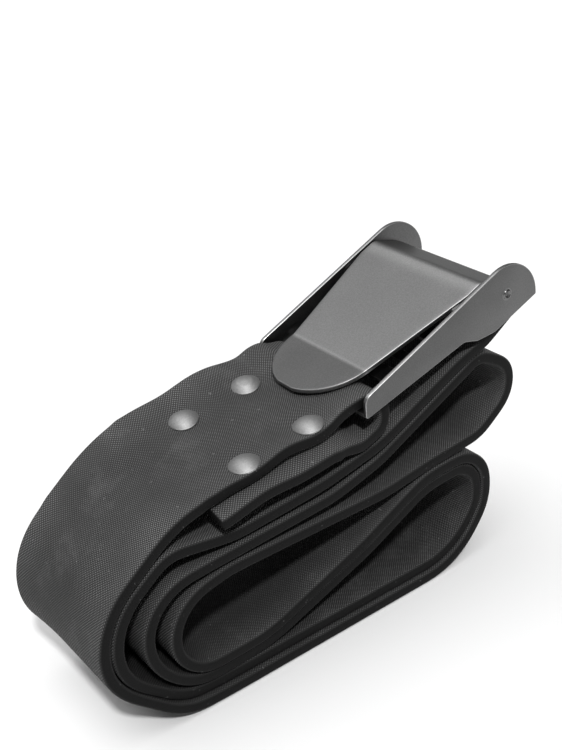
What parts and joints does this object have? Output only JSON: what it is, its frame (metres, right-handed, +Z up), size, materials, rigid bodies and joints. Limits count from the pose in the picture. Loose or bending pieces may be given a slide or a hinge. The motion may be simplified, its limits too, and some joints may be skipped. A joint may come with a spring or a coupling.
{
  "type": "dive weight belt",
  "caption": "Black rubber weight belt coiled on itself, with a stainless lever buckle held by a riveted fold of the strap.",
  "frame": {"origin": "middle of the flat bottom run of the coiled strap, on the face it stands on", "axes": "+X along the coil towards the buckle's pivot, +Y across the belt, +Z up"},
  "size_m": [0.1679, 0.0573, 0.1037],
  "materials": {
    "strap": "matt black, fine woven emboss on both faces",
    "buckle_frame": "satin stainless",
    "lever": "satin stainless",
    "pivot_pin": "turned stainless",
    "rivet_cap": "bright domed steel",
    "rivet_post": "bright steel"
  },
  "bodies": {
    "belt": {"strap": "strap", "buckle_frame": "buckle_frame", "pivot_pin": "pivot_pin", "rivet_cap_1": "rivet_cap", "rivet_cap_2": "rivet_cap", "rivet_cap_3": "rivet_cap", "rivet_cap_4": "rivet_cap", "rivet_post_1": "rivet_post", "rivet_post_2": "rivet_post", "rivet_post_3": "rivet_post", "rivet_post_4": "rivet_post"},
    "lever": {"lever": "lever"}
  },
  "joints": [
    {"name": "lever_hinge", "type": "hinge", "parent": "belt", "child": "lever", "pos_m": [0.0822, 0, 0.0942], "axis": [0, 1, 0], "range_deg": [0, 140]}
  ]
}
